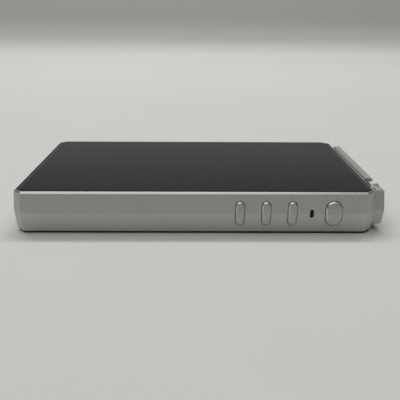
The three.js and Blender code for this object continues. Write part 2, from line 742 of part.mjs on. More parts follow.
// A V-faced cap with a bevelled edge, a retaining flange and a stub, around x = 0 and the ridge.
function button(width, length) {
  const slope = facetLean / (bodyHeight - edgeChamfer - ridgeHeight);
  const face = (z) => -halfWidth - buttonProud + slope * Math.abs(z);
  const capBack = -innerY - buttonTravel - fitGap;
  const points = [];
  const ring = (shrink, y) => {
    const sides = [[width / 2 - shrink, 0], [shrink - width / 2, 0]];
    for (const [x, z] of [...obroundPoints(width - 2 * shrink, length - 2 * shrink), ...sides]) {
      points.push(new THREE.Vector3(x, y(z), ridgeHeight + z));
    }
  };
  ring(buttonBevel, face);
  ring(0, (z) => face(z) + buttonBevel);
  ring(0, () => capBack + skin);
  const below = box([-width, width], [-halfWidth, 0], [0, floorFoot - fitGap]);
  const neck = prismY(slot(width, length, 0, 0, ridgeHeight), capBack, flangeFront + skin);
  const flange = prismY(slot(width, length, flangeLip, 0, ridgeHeight), flangeFront,
    flangeFront + flangeThickness);
  const stub = box([-stubWidth / 2, stubWidth / 2],
    [flangeFront + flangeThickness - skin, flangeFront + flangeThickness + stubLength],
    [ridgeHeight - stubWidth / 2, ridgeHeight + stubWidth / 2]);
  return neck.add(flange).intersect(below).add(solid(new ConvexGeometry(points))).add(stub);
}

function switchBody() {
  const nubHalf = stubWidth / 2 - fitGap;
  return box([-switchWidth / 2, switchWidth / 2],
    [switchFront + switchNub, switchFront + switchDepth],
    [ridgeHeight - switchHeight / 2, ridgeHeight + switchHeight / 2])
    .add(box([-nubHalf, nubHalf], [switchFront, switchFront + switchNub + skin],
      [ridgeHeight - nubHalf, ridgeHeight + nubHalf]));
}

const keys = [
  ['previous', buttonXs[0], buttonWidth, buttonLength],
  ['play', buttonXs[1], buttonWidth, buttonLength],
  ['next', buttonXs[2], buttonWidth, buttonLength],
  ['power', powerX, powerWidth, powerLength],
];
for (const [name, x, width, length] of keys) {
  add(controls, `${name}_button`, button(width, length), anodised, [x, 0, 0]);
  add(controls, `${name}_switch`, switchBody(), blackPlastic, [x, 0, 0]);
}

add(controls, 'indicator_window', prismY(slot(indicatorWidth, indicatorLength, 0, 0, ridgeHeight),
  -halfWidth + fitGap, -halfWidth + fitGap + indicatorDepth), smoked, [indicatorX, 0, 0]);
add(controls, 'indicator_lamp', box([-lampSize / 2, lampSize / 2],
  [keyBoardFront - solderGap - lampSize / 2, keyBoardFront - solderGap],
  [ridgeHeight - lampSize / 2, ridgeHeight + lampSize / 2]), foilSilver, [indicatorX, 0, 0]);

const keyBoardZ = [ridgeHeight - keyBoardHeight / 2, ridgeHeight + keyBoardHeight / 2];
add(controls, 'key_board', box([keyBoardStart, keyBoardEnd],
  [keyBoardFront, keyBoardFront + keyBoardThickness], keyBoardZ), boardGreen);

// Spring steel plate behind the key board, with a tab under a boss at each end.
function keyBracket() {
  const tabZ = [bracketTabTop - bracketThickness, bracketTabTop];
  let plate = box([keyBoardStart - 2 * bracketTab, keyBoardEnd + 2 * bracketTab],
    [bracketFront, bracketBack], [keyBoardZ[0], floorFoot - fitGap]);
  for (const [x, y] of bracketBosses) {
    plate = plate
      .subtract(prismZ(circle(bossRadius + fitGap, x, y), bracketTabTop - skin, floorFoot))
      .add(box([x - bossRadius, x + bossRadius], [-innerY + fitGap, bracketFront + skin],
        tabZ))
      .subtract(prismZ(circle(screwRadius + screwGap, x, y), 0, bodyHeight));
  }
  return plate;
}

add(controls, 'key_bracket', keyBracket(), steel);

export default parts;
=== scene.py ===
"""Touch-screen music player lying on a pale table: finer surfaces, finishes, light and camera.

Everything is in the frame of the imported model: origin in the middle of the back, +X the top end
with the volume wheel, -Y the side with the buttons, +Z out of the screen. Shapes are worked out in
millimetres and put into their meshes in metres.
"""
import json
import math

import bmesh
import bpy
import numpy as np
from mathutils import Matrix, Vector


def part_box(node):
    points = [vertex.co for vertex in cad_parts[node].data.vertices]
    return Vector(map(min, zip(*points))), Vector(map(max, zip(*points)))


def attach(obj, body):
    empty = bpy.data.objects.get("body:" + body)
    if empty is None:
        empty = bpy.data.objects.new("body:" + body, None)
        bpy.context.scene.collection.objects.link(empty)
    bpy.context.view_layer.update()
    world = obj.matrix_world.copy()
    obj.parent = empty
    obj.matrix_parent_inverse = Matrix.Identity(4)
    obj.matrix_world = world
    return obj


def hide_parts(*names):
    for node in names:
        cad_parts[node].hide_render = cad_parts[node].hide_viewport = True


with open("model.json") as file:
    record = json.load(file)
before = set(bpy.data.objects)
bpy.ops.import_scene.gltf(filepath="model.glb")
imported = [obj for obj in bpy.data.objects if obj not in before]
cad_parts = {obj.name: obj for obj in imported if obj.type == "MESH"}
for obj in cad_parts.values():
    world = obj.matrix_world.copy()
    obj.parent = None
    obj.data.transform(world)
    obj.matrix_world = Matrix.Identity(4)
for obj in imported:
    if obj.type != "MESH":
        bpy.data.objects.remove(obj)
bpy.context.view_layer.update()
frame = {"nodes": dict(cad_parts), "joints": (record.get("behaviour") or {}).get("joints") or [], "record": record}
scene = bpy.context.scene
MM = 0.001

# ---- Camera ---------------------------------------------------------------------------------------

CAMERA_PLACE = (-0.11, -190.70, 70.22)
PITCH, YAW, ROLL = np.radians([20.40, 0.652, 0.363])
LENS, SENSOR = 47.23, 36


def set_camera():
    """Looks down by the pitch and right by the yaw, then rolls about its own axis."""
    ahead = np.array([math.sin(YAW) * math.cos(PITCH), math.cos(YAW) * math.cos(PITCH),
                      -math.sin(PITCH)])
    level = np.cross(ahead, [0, 0, 1])
    level /= np.linalg.norm(level)
    above = np.cross(level, ahead)
    right = level * math.cos(ROLL) + above * math.sin(ROLL)
    up = above * math.cos(ROLL) - level * math.sin(ROLL)
    lens = bpy.data.cameras.new("camera")
    lens.sensor_width, lens.lens = SENSOR, LENS
    lens.clip_start = 0.005
    camera = bpy.data.objects.new("camera", lens)
    turn = np.eye(4)
    turn[:3, :3] = np.stack([right, up, -ahead], axis=1)
    turn[:3, 3] = np.array(CAMERA_PLACE) * MM
    camera.matrix_world = Matrix(turn.tolist())
    scene.collection.objects.link(camera)
    scene.camera = camera


set_camera()

# ---- Sizes ----------------------------------------------------------------------------------------


def span(node):
    """Lowest and highest corner of a CAD node, in millimetres."""
    return tuple(np.array(corner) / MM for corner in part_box(node))


body_low, body_high = span("main_frame")
HALF_LENGTH, HALF_WIDTH = body_high[0], body_high[1]
BODY_HEIGHT, FRAME_FOOT = body_high[2], body_low[2]
RIDGE = (span("indicator_window")[0][2] + span("indicator_window")[1][2]) / 2
FACET_LEAN, TOP_CHAMFER, FOOT_CHAMFER = 0.55, 0.7, 0.3
CORNER_CUT, WALL = 3.0, 1.8
GLASS_LEDGE, COVER_LEDGE = 1.6, 1.6
GLASS_GAP = 0.15
TAPE_GAP, PANEL_GAP, FLOOR_THICKNESS, COVER_LEDGE_HEIGHT = 0.05, 0.1, 0.7, 0.8
LEDGE_HEIGHT = span("glass_tape")[0][2] - TAPE_GAP
FLOOR_TOP = span("display_panel")[0][2] - PANEL_GAP
FLOOR_FOOT = FLOOR_TOP - FLOOR_THICKNESS
COVER_SEAT = FRAME_FOOT + COVER_LEDGE_HEIGHT
RIM_INSET = FACET_LEAN + TOP_CHAMFER
LEAN_SLOPE = FACET_LEAN / (BODY_HEIGHT - TOP_CHAMFER - RIDGE)
INNER_X, INNER_Y = HALF_LENGTH - WALL, HALF_WIDTH - WALL
BUTTON_GAP, BUTTON_BEVEL = 0.12, 0.42
RIM_LAND = 0.2
FIT_GAP = 0.15
CUT_PAST = 0.3                   # how far a cutter reaches past the wall it goes through
BOSS_RADIUS, BOARD_SCREW_RISE, BRACKET_SCREW_RISE = 1.9, 1.7, 1.2
INDICATOR_SLOT, INDICATOR_RIM = (1.0, 2.5), 0.08
HOLE_RIM = 0.12
CABLE_MOUTH = (9.2, 3.5)         # across and up
CARD_MOUTH = (5.85, 0.6)         # half across and half up
SHAFT_BORE, SCREW_BORE = 1.4, 0.72

# ---- Surfaces -------------------------------------------------------------------------------------


def unit(vectors):
    return vectors / np.linalg.norm(vectors, axis=-1, keepdims=True)


def softened(corners, radius, steps=4):
    """Closed polygon with every corner turned into an arc.

    An arc starts radius / tan(half the inner angle) before its corner and ends as far after it.
    Its points are the spherical means of the two end spokes about the arc's centre.
    """
    before = unit(np.roll(corners, 1, -2) - corners)
    after = unit(np.roll(corners, -1, -2) - corners)
    half = np.arccos(np.clip((before * after).sum(-1), -1, 1)) / 2
    reach = (radius / np.tan(half))[..., None]
    centre = corners + unit(before + after) * (radius / np.sin(half))[..., None]
    first, last = corners + before * reach - centre, corners + after * reach - centre
    sweep = (math.pi - 2 * half)[..., None, None]
    share = np.linspace(0, 1, steps + 1)[:, None]
    spokes = (np.sin((1 - share) * sweep) * first[..., None, :]
              + np.sin(share * sweep) * last[..., None, :]) / np.sin(sweep)
    points = centre[..., None, :] + spokes
    return points.reshape(*corners.shape[:-2], -1, corners.shape[-1])


def softened_run(corners, radii, steps=4):
    """Open profile whose inner corners become arcs; its two ends stay where they are."""
    ring = softened(np.asarray(corners, float), np.asarray(radii, float), steps)
    arcs = ring.reshape(len(corners), steps + 1, -1)
    return np.concatenate([[corners[0]], arcs[1:-1].reshape(-1, arcs.shape[-1]), [corners[-1]]])


def body_outline(inset, radius=0.22, steps=3):
    """Body's outline drawn in from the ridge by each inset, one ring of (x, y) for each.

    Every side moves in by the inset, so a corner cut of c gets shorter as c - (2 - sqrt 2) inset,
    and every corner of the outline is rounded by the same small radius.
    """
    inset = np.atleast_1d(np.asarray(inset, float))
    cut = CORNER_CUT - (2 - math.sqrt(2)) * inset
    x, y = HALF_LENGTH - inset, HALF_WIDTH - inset
    xs = np.stack([x - cut, cut - x, -x, -x, cut - x, x - cut, x, x], -1)
    ys = np.stack([y, y, y - cut, cut - y, -y, -y, cut - y, y - cut], -1)
    return softened(np.stack([xs, ys], -1), radius, steps)


def at_heights(outlines, heights):
    """Rings of (x, y) lifted to a height each."""
    heights = np.broadcast_to(np.asarray(heights, float)[:, None, None], (*outlines.shape[:2], 1))
    return np.concatenate([outlines, heights], -1)


def obround(width, length, steps=14):
    """Round-ended slot with its long side upright, from its right-hand middle round to it."""
    turn = np.linspace(0, math.pi, 2 * steps + 1)
    top = np.stack([width / 2 * np.cos(turn),
                    (length - width) / 2 + width / 2 * np.sin(turn)], -1)
    return np.concatenate([[[width / 2, 0]], top, [[-width / 2, 0]], -top])


def circle(radius, steps):
    turn = np.linspace(0, 2 * math.pi, steps, endpoint=False)
    return radius * np.stack([np.cos(turn), np.sin(turn)], -1)


def along_x(outlines, places, y=0.0, z=0.0):
    """Rings of (across, up) set at a place along X each, about a centre."""
    places = np.broadcast_to(np.asarray(places, float)[:, None], outlines.shape[:2])
    return np.stack([places, outlines[..., 0] + y, outlines[..., 1] + z], -1)


def joined(meshes):
    """Several (points, faces) pairs as one."""
    starts = np.cumsum([0] + [len(points) for points, _ in meshes])
    points = np.concatenate([points for points, _ in meshes])
    faces = [tuple(int(i) + int(start) for i in face)
             for (_, made), start in zip(meshes, starts) for face in made]
    return points, faces


def lofted(rings, foot_fan=True):
    """Closed surface through rings of points (ring, place, xyz); each end closes on its middle.

    A quad joins each place on a ring with the next place and the next ring. The two end rings
    get a fan of triangles to their mean point, unless the first is folded to a line already.
    """
    rings = np.asarray(rings, float)
    count, size = rings.shape[:2]
    points = np.concatenate([rings.reshape(-1, 3), rings[[0, -1]].mean(1)])
    place = np.arange(size)
    after = (place + 1) % size
    row = np.arange(count - 1)[:, None] * size
    quads = np.stack([row + place, row + after, row + size + after, row + size + place], -1)
    foot = np.stack([after, place, np.full(size, count * size)], -1)
    top = np.stack([place, after, np.full(size, count * size + 1)], -1)
    top[:, :2] += (count - 1) * size
    faces = quads.reshape(-1, 4).tolist() + top.tolist()
    if foot_fan:
        return points, faces + foot.tolist()
    return np.delete(points, count * size, 0), [
        [i - (i > count * size) for i in face] for face in faces]


def solid(name, surface):
    """Object from (points in millimetres, faces), with doubles merged and faces outwards."""
    points, faces = surface
    mesh = bpy.data.meshes.new(name)
    mesh.from_pydata((points * MM).tolist(), [], faces)
    work = bmesh.new()
    work.from_mesh(mesh)
    bmesh.ops.remove_doubles(work, verts=work.verts, dist=2e-7)
    bmesh.ops.dissolve_degenerate(work, edges=work.edges, dist=1e-8)
    bmesh.ops.recalc_face_normals(work, faces=work.faces)
    work.to_mesh(mesh)
    work.free()
    made = bpy.data.objects.new(name, mesh)
    scene.collection.objects.link(made)
    return made


def settled(made):
    """Bakes the modifiers of an object into its mesh."""
    bpy.context.view_layer.update()
    depsgraph = bpy.context.evaluated_depsgraph_get()
    mesh = bpy.data.meshes.new_from_object(made.evaluated_get(depsgraph))
    old = made.data
    made.modifiers.clear()
    made.data = mesh
    bpy.data.meshes.remove(old)
    return made


def combined(made, others, operation):
    """Joins, cuts or keeps the overlap of a solid with others, which are used up."""
    for other in others:
        step = made.modifiers.new("cut", "BOOLEAN")
        step.operation, step.object, step.solver = operation, other, "EXACT"
    settled(made)
    for other in others:
        bpy.data.objects.remove(other)
    return made


def place(made, body, slot, finish, replaces=(), sharp=32):
    """Shades a piece, gives it its finish and sets it on its body."""
    mesh = made.data
    mesh.materials.clear()
    mesh.materials.append(finish)
    mesh.shade_smooth()
    mesh.set_sharp_from_angle(angle=math.radians(sharp))
    even = made.modifiers.new("even", "WEIGHTED_NORMAL")
    even.keep_sharp, even.weight = True, 90
    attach(made, body)
    if replaces:
        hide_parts(*replaces)
    return made


def creased(made, height):
    """Keeps every edge that lies at a height crisp."""
    mesh = made.data
    z = np.empty(len(mesh.vertices) * 3, np.float32)
    mesh.vertices.foreach_get("co", z)
    level = np.abs(z[2::3] / MM - height) < 1e-3
    ends = np.empty(len(mesh.edges) * 2, np.int32)
    mesh.edges.foreach_get("vertices", ends)
    sharp = np.empty(len(mesh.edges), bool)
    mesh.edges.foreach_get("use_edge_sharp", sharp)
    mesh.edges.foreach_set("use_edge_sharp", sharp | level[ends].reshape(-1, 2).all(1))


# ---- Finishes -------------------------------------------------------------------------------------


class Number:
    """A shader socket used in arithmetic: each operator adds one Math node."""

    def __init__(self, finish, socket):
        self.finish, self.socket = finish, socket

    def math(self, operation, *values):
        inputs = dict(enumerate(values))
        return self.finish.node("Math", {"operation": operation}, inputs)

    def __add__(self, other):
        return self.math("ADD", self, other)

    __radd__ = __add__

    def __sub__(self, other):
        return self.math("SUBTRACT", self, other)

    def __rsub__(self, other):
        return self.math("SUBTRACT", other, self)

    def __mul__(self, other):
        return self.math("MULTIPLY", self, other)

    __rmul__ = __mul__

    def __truediv__(self, other):
        return self.math("DIVIDE", self, other)

    def __abs__(self):
        return self.math("ABSOLUTE", self)

    def __mod__(self, other):
        return self.math("FLOORED_MODULO", self, other)

    def least(self, other):
        return self.math("MINIMUM", self, other)

    def most(self, other):
        return self.math("MAXIMUM", self, other)

    def rise(self, start, end):
        """0 below start, 1 above end and straight between them."""
        return ((self - start) / (end - start)).least(1.0).most(0.0)


class Finish:
    """A procedural material: nodes behind one Principled shader."""

    def __init__(self, name, **constants):
        self.material = bpy.data.materials.new(name)
        self.material.use_nodes = True
        self.tree = self.material.node_tree
        self.tree.nodes.clear()
        self.shader = self.tree.nodes.new("ShaderNodeBsdfPrincipled")
        out = self.tree.nodes.new("ShaderNodeOutputMaterial")
        self.tree.links.new(self.shader.outputs["BSDF"], out.inputs["Surface"])
        for key, value in constants.items():
            self.shader.inputs[key.replace("_", " ").title().replace("Ior", "IOR")] \
                .default_value = value
        coordinates = self.node("TexCoord", output="Object")
        self.place = self.node("VectorMath", {"operation": "SCALE"},
                               {0: coordinates, "Scale": 1 / MM})

    def node(self, kind, settings=None, inputs=None, output=0):
        """Adds a node, sets its settings first and its inputs next, and gives one output."""
        made = self.tree.nodes.new("ShaderNode" + kind)
        for key, value in (settings or {}).items():
            if key == "stops":
                for stop, (spot, colour) in zip(made.color_ramp.elements, value):
                    stop.position, stop.color = spot, colour
            else:
                setattr(made, key, value)
        for key, value in (inputs or {}).items():
            self.join(value, made.inputs[key])
        return Number(self, made.outputs[output])

    def join(self, value, socket):
        if isinstance(value, Number):
            self.tree.links.new(value.socket, socket)
        else:
            socket.default_value = value

    def axis(self, name):
        """One of the piece's own coordinates, in millimetres."""
        return self.node("SeparateXYZ", inputs={0: self.place}, output=name)

    def stretched(self, x=1.0, y=1.0, z=1.0):
        """The piece's coordinates drawn out along an axis by a factor."""
        return self.node("VectorMath", {"operation": "MULTIPLY"},
                         {0: self.place, 1: (1 / x, 1 / y, 1 / z)})

    def noise(self, size, detail=2.0, where=None):
        """Soft random field from 0 to 1 whose blobs are about size millimetres across."""
        return self.node("TexNoise", inputs={"Vector": where or self.place, "Scale": 1 / size,
                                             "Detail": detail})

    def cells(self, size, feature="F1", where=None, output="Distance"):
        return self.node("TexVoronoi", {"feature": feature},
                         {"Vector": where or self.place, "Scale": 1 / size}, output)

    def attribute(self, name):
        return self.node("Attribute", {"attribute_name": name}, output="Fac")

    def mix(self, share, first, second):
        """Colour from first at 0 to second at 1."""
        return self.node("Mix", {"data_type": "RGBA"}, {0: share, 6: first, 7: second}, 2)

    def colour(self, value):
        self.join(value, self.shader.inputs["Base Color"])

    def rough(self, value):
        self.join(value, self.shader.inputs["Roughness"])

    def bump(self, height, depth, strength=1.0):
        """Raises the surface by height times depth, in millimetres."""
        normal = self.node("Bump", inputs={"Height": height, "Distance": depth * MM,
                                           "Strength": strength}, output="Normal")
        self.join(normal, self.shader.inputs["Normal"])


def grey(value, warmth=0.0):
    """Linear colour of a brightness, redder and less blue by the warmth."""
    return (value * (1 + warmth), value, value * (1 - warmth), 1.0)


def rgb(red, green, blue):
    return (red, green, blue, 1.0)


def blasted(name, level, warmth=0.0, polished_above=None, polish=None):
    """Bead-blasted, clear anodised aluminium.

    A fine grain sets roughness and bump, a slow cloud shifts the tone by a few hundredths, and
    the diamond-cut edge, above a height or where an attribute says so, is brighter and smoother.
    """
    finish = Finish(name, metallic=ANODISED_METAL)
    grain = finish.noise(0.16, 3.0)
    cloud = finish.noise(11.0, 3.0)
    speck = finish.noise(0.9, 2.0).rise(0.25, 0.8)
    tone = (cloud * 0.7 + speck * 0.3).rise(0.25, 0.75)
    base = finish.mix(tone, grey(level * 0.955, warmth), grey(level * 1.045, warmth))
    roughness = 0.40 + grain * 0.16 + cloud * 0.04
    if polished_above is not None or polish:
        cut = (finish.attribute(polish) if polish
               else finish.axis("Z").rise(polished_above - 0.05, polished_above + 0.05))
        lines = finish.noise(0.05, 1.0, finish.stretched(x=40.0, y=40.0))
        base = finish.mix(cut, base, grey(CHAMFER_LEVEL, warmth))
        roughness = roughness * (1.0 - cut) + (CUT_ROUGHNESS + lines * 0.10) * cut
        grain = grain * (1.0 - cut * 0.85)
    finish.colour(base)
    finish.rough(roughness)
    finish.bump(grain, 0.012, 0.55)
    return finish.material


def black_glass(name, level, lit_area=None, smudge=0.06, gloss=0.035):
    """Polished glass backed in black, with faint wipe marks.

    Where a display lies under it, its lit area is a shade bluer than the printed border.
    """
    finish = Finish(name, metallic=0.0, ior=1.5)
    marks = finish.noise(7.0, 4.0, finish.stretched(x=2.4, y=0.8)).rise(0.35, 0.8)
    dust = finish.cells(2.6).rise(0.05, 0.02)
    base = finish.mix(marks, grey(level), grey(level * 1.35, -0.06))
    if lit_area is not None:
        (x0, x1), (y0, y1) = lit_area
        x, y = finish.axis("X"), finish.axis("Y")
        inside = ((x - x0).rise(0, 0.25) * (x1 - x).rise(0, 0.25)
                  * (y - y0).rise(0, 0.25) * (y1 - y).rise(0, 0.25))
        base = finish.mix(inside * 0.8, base, rgb(level * 1.2, level * 1.45, level * 1.9))
    finish.colour(base)
    finish.rough(gloss + marks * smudge * 0.5 + dust * 0.02)
    return finish.material


def metal(name, colour, rough=0.3, brush=None, pitch=0.12):
    """Turned or rolled metal; the grain is drawn out along the given stretch."""
    finish = Finish(name, metallic=1.0)
    where = finish.stretched(**brush) if brush else finish.place
    lines = finish.noise(pitch, 3.0, where)
    stain = finish.noise(2.5, 3.0)
    darker = tuple(value * 0.86 for value in colour[:3]) + (1.0,)
    finish.colour(finish.mix(lines * 0.6 + stain * 0.4, darker, colour))
    finish.rough(rough - 0.06 + lines * 0.12 + stain * 0.05)
    finish.bump(lines, 0.008, 0.4)
    return finish.material


def knurled(name):
    """Steel wheel: bright on the crests and duller in the grooves, with painted shade darkening the grooves."""
    finish = Finish(name, metallic=1.0)
    groove = finish.attribute("groove")
    grain = finish.noise(0.2, 3.0)
    bright = finish.mix(grain, grey(0.60, 0.012), grey(0.70, 0.012))
    # The groove share darkens the base colour: painted shade in the knurl's grooves.
    finish.colour(finish.mix(groove * 0.9, bright, grey(0.20, 0.02)))
    finish.rough(0.24 + grain * 0.12 + groove * 0.25)
    finish.bump(grain, 0.01, 0.4)
    return finish.material


def moulded(name, colour, rough=0.5, texture=0.14):
    """Moulded plastic with a spark-eroded texture."""
    finish = Finish(name, metallic=0.0)
    grain = finish.noise(texture, 3.0)
    cloud = finish.noise(3.0, 2.0)
    lighter = tuple(value * 1.3 + 0.002 for value in colour[:3]) + (1.0,)
    finish.colour(finish.mix(cloud * 0.6 + grain * 0.4, colour, lighter))
    finish.rough(rough - 0.08 + grain * 0.16)
    finish.bump(grain, 0.02, 0.5)
    return finish.material


def circuit(name):
    """Green solder mask over copper tracks, with tinned pads on a grid."""
    finish = Finish(name, metallic=0.0, coat_weight=0.3, coat_roughness=0.15)
    tracks = finish.cells(1.7, "DISTANCE_TO_EDGE").rise(0.05, 0.02)
    pads = finish.cells(1.1, "F1").rise(0.17, 0.12)
    weave = finish.noise(0.5, 2.0)
    mask = finish.mix(weave, rgb(0.012, 0.075, 0.04), rgb(0.02, 0.10, 0.055))
    mask = finish.mix(tracks * 0.8, mask, rgb(0.05, 0.19, 0.09))
    finish.colour(finish.mix(pads, mask, rgb(0.62, 0.60, 0.55)))
    finish.rough(0.42 - pads * 0.12 + weave * 0.08)
    finish.join(pads * 0.9, finish.shader.inputs["Metallic"])
    finish.bump(tracks + pads, 0.03, 0.5)
    return finish.material


def foil(name):
    """Aluminium pouch foil: broad creases, painted shade darkening the crease lines, and a fine embossed grain."""
    finish = Finish(name, metallic=0.9)
    creases = abs(finish.noise(6.0, 4.0) * 2.0 - 1.0)
    grain = finish.noise(0.4, 2.0)
    # Painted shade: the colour is darker along the crease lines, where the bump is lowest.
    finish.colour(finish.mix(creases, grey(0.5), grey(0.68)))
    finish.rough(0.3 + grain * 0.2)
    finish.bump(creases * 0.8 + grain * 0.2, 0.12, 0.6)
    return finish.material


def package(name):
    """Black chip body: fine grain and a slowly wandering tone."""
    finish = Finish(name, metallic=0.0)
    grain = finish.noise(0.12, 3.0)
    cloud = finish.noise(2.2, 2.0)
    finish.colour(finish.mix(cloud, grey(0.022), grey(0.045)))
    finish.rough(0.42 + grain * 0.2)
    finish.bump(grain, 0.02, 0.6)
    return finish.material


def polyimide(name):
    """Amber ribbon with copper lines along it under the film."""
    finish = Finish(name, metallic=0.0, coat_weight=0.4, coat_roughness=0.2)
    lines = abs((finish.axis("Y") % 0.8) - 0.4).rise(0.14, 0.18)
    film = finish.noise(1.5, 2.0)
    gap = finish.mix(film, rgb(0.30, 0.13, 0.03), rgb(0.38, 0.18, 0.05))
    finish.colour(finish.mix(lines, gap, rgb(0.55, 0.30, 0.09)))
    finish.rough(0.32 + film * 0.12)
    finish.bump(lines, 0.02, 0.5)
    return finish.material


def open_foam(name):
    """Black foam with open cells, painted shade darkening each pore."""
    finish = Finish(name, metallic=0.0)
    cells = finish.cells(0.45)
    # Painted shade: the colour is darker towards each cell's middle, where the bump sinks into a pore.
    finish.colour(finish.mix(cells.rise(0.1, 0.7), grey(0.008), grey(0.04)))
    finish.rough(0.85 + cells * 0.1)
    finish.bump(cells, 0.1, 0.8)
    return finish.material


def smoked(name):
    """Dark window with a faint blue cast and a soft centre where the lamp sits behind it."""
    finish = Finish(name, metallic=0.0, ior=1.5, specular_ior_level=0.2)
    haze = finish.noise(0.5, 2.0)
    centre = abs(finish.axis("Z") - RIDGE).rise(0.9, 0.0)
    dark = finish.mix(haze, rgb(0.002, 0.0025, 0.004), rgb(0.004, 0.005, 0.008))
    finish.colour(finish.mix(centre * 0.5, dark, rgb(0.010, 0.016, 0.034)))
    finish.rough(0.2 + haze * 0.08)
    return finish.material


def panel(name):
    """Display panel: near-black with a fine grid of dots."""
    finish = Finish(name, metallic=0.0, ior=1.5)
    dots = ((finish.axis("X") % 0.3).rise(0.03, 0.06) * (finish.axis("Y") % 0.3).rise(0.03, 0.06))
    finish.colour(finish.mix(dots, grey(0.006), rgb(0.012, 0.014, 0.02)))
    finish.rough(0.12 + finish.noise(3.0) * 0.06)
    return finish.material


ANODISED_METAL = 0.85
FRAME_LEVEL, BUTTON_LEVEL, GUARD_LEVEL = 0.56, 0.54, 0.50
CHAMFER_LEVEL, CUT_ROUGHNESS = 0.74, 0.24
display_low, display_high = span("display_panel")
LIT_MARGIN = (1.4, 1.6)
lit_area = ((display_low[0] + 2 * LIT_MARGIN[0], display_high[0] - LIT_MARGIN[0]),
            (display_low[1] + LIT_MARGIN[1], display_high[1] - LIT_MARGIN[1]))

finishes = {
    "anodised_frame": blasted("anodised_frame", FRAME_LEVEL, 0.012, BODY_HEIGHT - TOP_CHAMFER),
    "anodised_button": blasted("anodised_button", BUTTON_LEVEL, 0.010, polish="bevel"),
    "front_glass": black_glass("front_glass", 0.0042, lit_area),
    "back_glass": black_glass("back_glass", 0.0035, None, 0.1, 0.08),
    "display": panel("display"),
    "foam": open_foam("foam"),
    "ribbon": polyimide("ribbon"),
    "knurled_wheel": knurled("knurled_wheel"),
    "steel": metal("steel", grey(0.58), 0.32),
    "screw": metal("screw", grey(0.36, 0.01), 0.34, {"z": 6.0}),
    "brass": metal("brass", rgb(0.78, 0.57, 0.24), 0.26, {"x": 1.0}),
    "black_plastic": moulded("black_plastic", grey(0.014), 0.5),
    "white_plastic": moulded("white_plastic", grey(0.66, 0.01), 0.45),
    "circuit_board": circuit("circuit_board"),
    "battery_foil": foil("battery_foil"),
    "shield_can": metal("shield_can", grey(0.60, 0.02), 0.3, {"y": 8.0}),
    "chip_black": package("chip_black"),
    "indicator": smoked("indicator"),
}

slot_of_node = {row["node"]: row["material_slot"] for row in frame["record"]["subparts"]}
for node, carried in frame["nodes"].items():
    carried.data.materials.clear()
    carried.data.materials.append(finishes[slot_of_node[node]])

# ---- Frame ----------------------------------------------------------------------------------------


def facet_y(z):
    """Y of the button side's V-shaped face at a height above or below the ridge."""
    return LEAN_SLOPE * np.abs(z) - HALF_WIDTH


def side_slot(name, x, width, length, rim=0.1):
    """Cutter for a slot in the button side.

    Its rings follow the V of the face: wide outside it, the same at the face, then narrower by
    the rim once it is that deep, and straight on through the wall.
    """
    grow = np.array([rim, rim, 0.0, 0.0]) + BUTTON_GAP
    rings = []
    for extra, depth in zip(grow, (-1.0, 0.0, rim, None)):
        points = obround(width + 2 * extra, length + 2 * extra)
        back = facet_y(points[:, 1]) + depth if depth is not None else CUT_PAST - INNER_Y
        rings.append(np.stack([points[:, 0] + x, np.broadcast_to(back, len(points)),
                               points[:, 1] + RIDGE], -1))
    return solid(name, lofted(rings))


def bore(name, radius, x0, x1, y, z, rim=0.0, steps=48):
    """Round cutter along X whose mouth at x0 flares out by the rim."""
    radii = np.array([radius + rim, radius + rim, radius, radius])
    away = math.copysign(1.0, x1 - x0)
    places = [x0 - away, x0, x0 + away * max(rim, 0.01), x1]
    return solid(name, lofted(along_x(circle(1, steps)[None] * radii[:, None, None], places, y, z)))


def post(name, radius, x, y, z0, z1, steps=32):
    outline = circle(radius, steps) + (x, y)
    return solid(name, lofted(at_heights(np.stack([outline, outline]), [z0, z1])))


def block(name, low, high, radius=0.1):
    """Upright prism with rounded corners."""
    corners = np.array([[low[0], low[1]], [high[0], low[1]], [high[0], high[1]],
                        [low[0], high[1]]], float)
    outline = softened(corners, radius)
    return solid(name, lofted(at_heights(np.stack([outline, outline]), [low[2], high[2]])))


def lying_slot(name, width, height, x0, x1, y, z, rim=HOLE_RIM):
    """Obround cutter along X for the cable socket, with a flared mouth at x0."""
    grow = np.array([rim, rim, 0.0, 0.0])
    outlines = np.stack([obround(height + 2 * g, width + 2 * g)[:, ::-1] for g in grow])
    away = math.copysign(1.0, x1 - x0)
    return solid(name, lofted(along_x(outlines, [x0 - away, x0, x0 + away * rim, x1], y, z)))


def middle(node):
    low, high = span(node)
    return (low + high) / 2


buttons = {"previous_button": (2.8, 8.0), "play_button": (2.8, 8.0), "next_button": (2.8, 8.0),
           "power_button": (5.3, 8.3)}
jacks = {"headphone_jack": (1.8, 2.6), "balanced_jack": (2.25, 3.3)}
_, wheel_y, wheel_z = np.array(next(
    joint["pos_m"] for joint in frame["joints"] if joint["name"] == "volume_turn")) / MM

# Profile of the frame as (inset from the ridge, height), from the floor's top out over the rim,
# down the outside and back in under the floor. Radii soften each corner.
profile = np.array([
    (RIM_INSET + GLASS_LEDGE, FLOOR_TOP), (RIM_INSET + GLASS_LEDGE, LEDGE_HEIGHT),
    (RIM_INSET, LEDGE_HEIGHT), (RIM_INSET, BODY_HEIGHT), (RIM_INSET - RIM_LAND, BODY_HEIGHT),
    (FACET_LEAN, BODY_HEIGHT - TOP_CHAMFER + 0.1),
    (0.0, RIDGE), (FACET_LEAN, FRAME_FOOT + FOOT_CHAMFER),
    (FACET_LEAN + FOOT_CHAMFER, FRAME_FOOT), (WALL + COVER_LEDGE, FRAME_FOOT),
    (WALL + COVER_LEDGE, COVER_SEAT), (WALL, COVER_SEAT), (WALL, FLOOR_FOOT)])
profile_radii = np.array([0.02, 0.04, 0.04, 0.05, 0.08, 0.08, 0.08, 0.08, 0.08, 0.04, 0.04, 0.04, 0.02])
profile = softened_run(profile, profile_radii, 3)
frame_shell = solid("frame_shell", lofted(at_heights(body_outline(profile[:, 0]), profile[:, 1])))

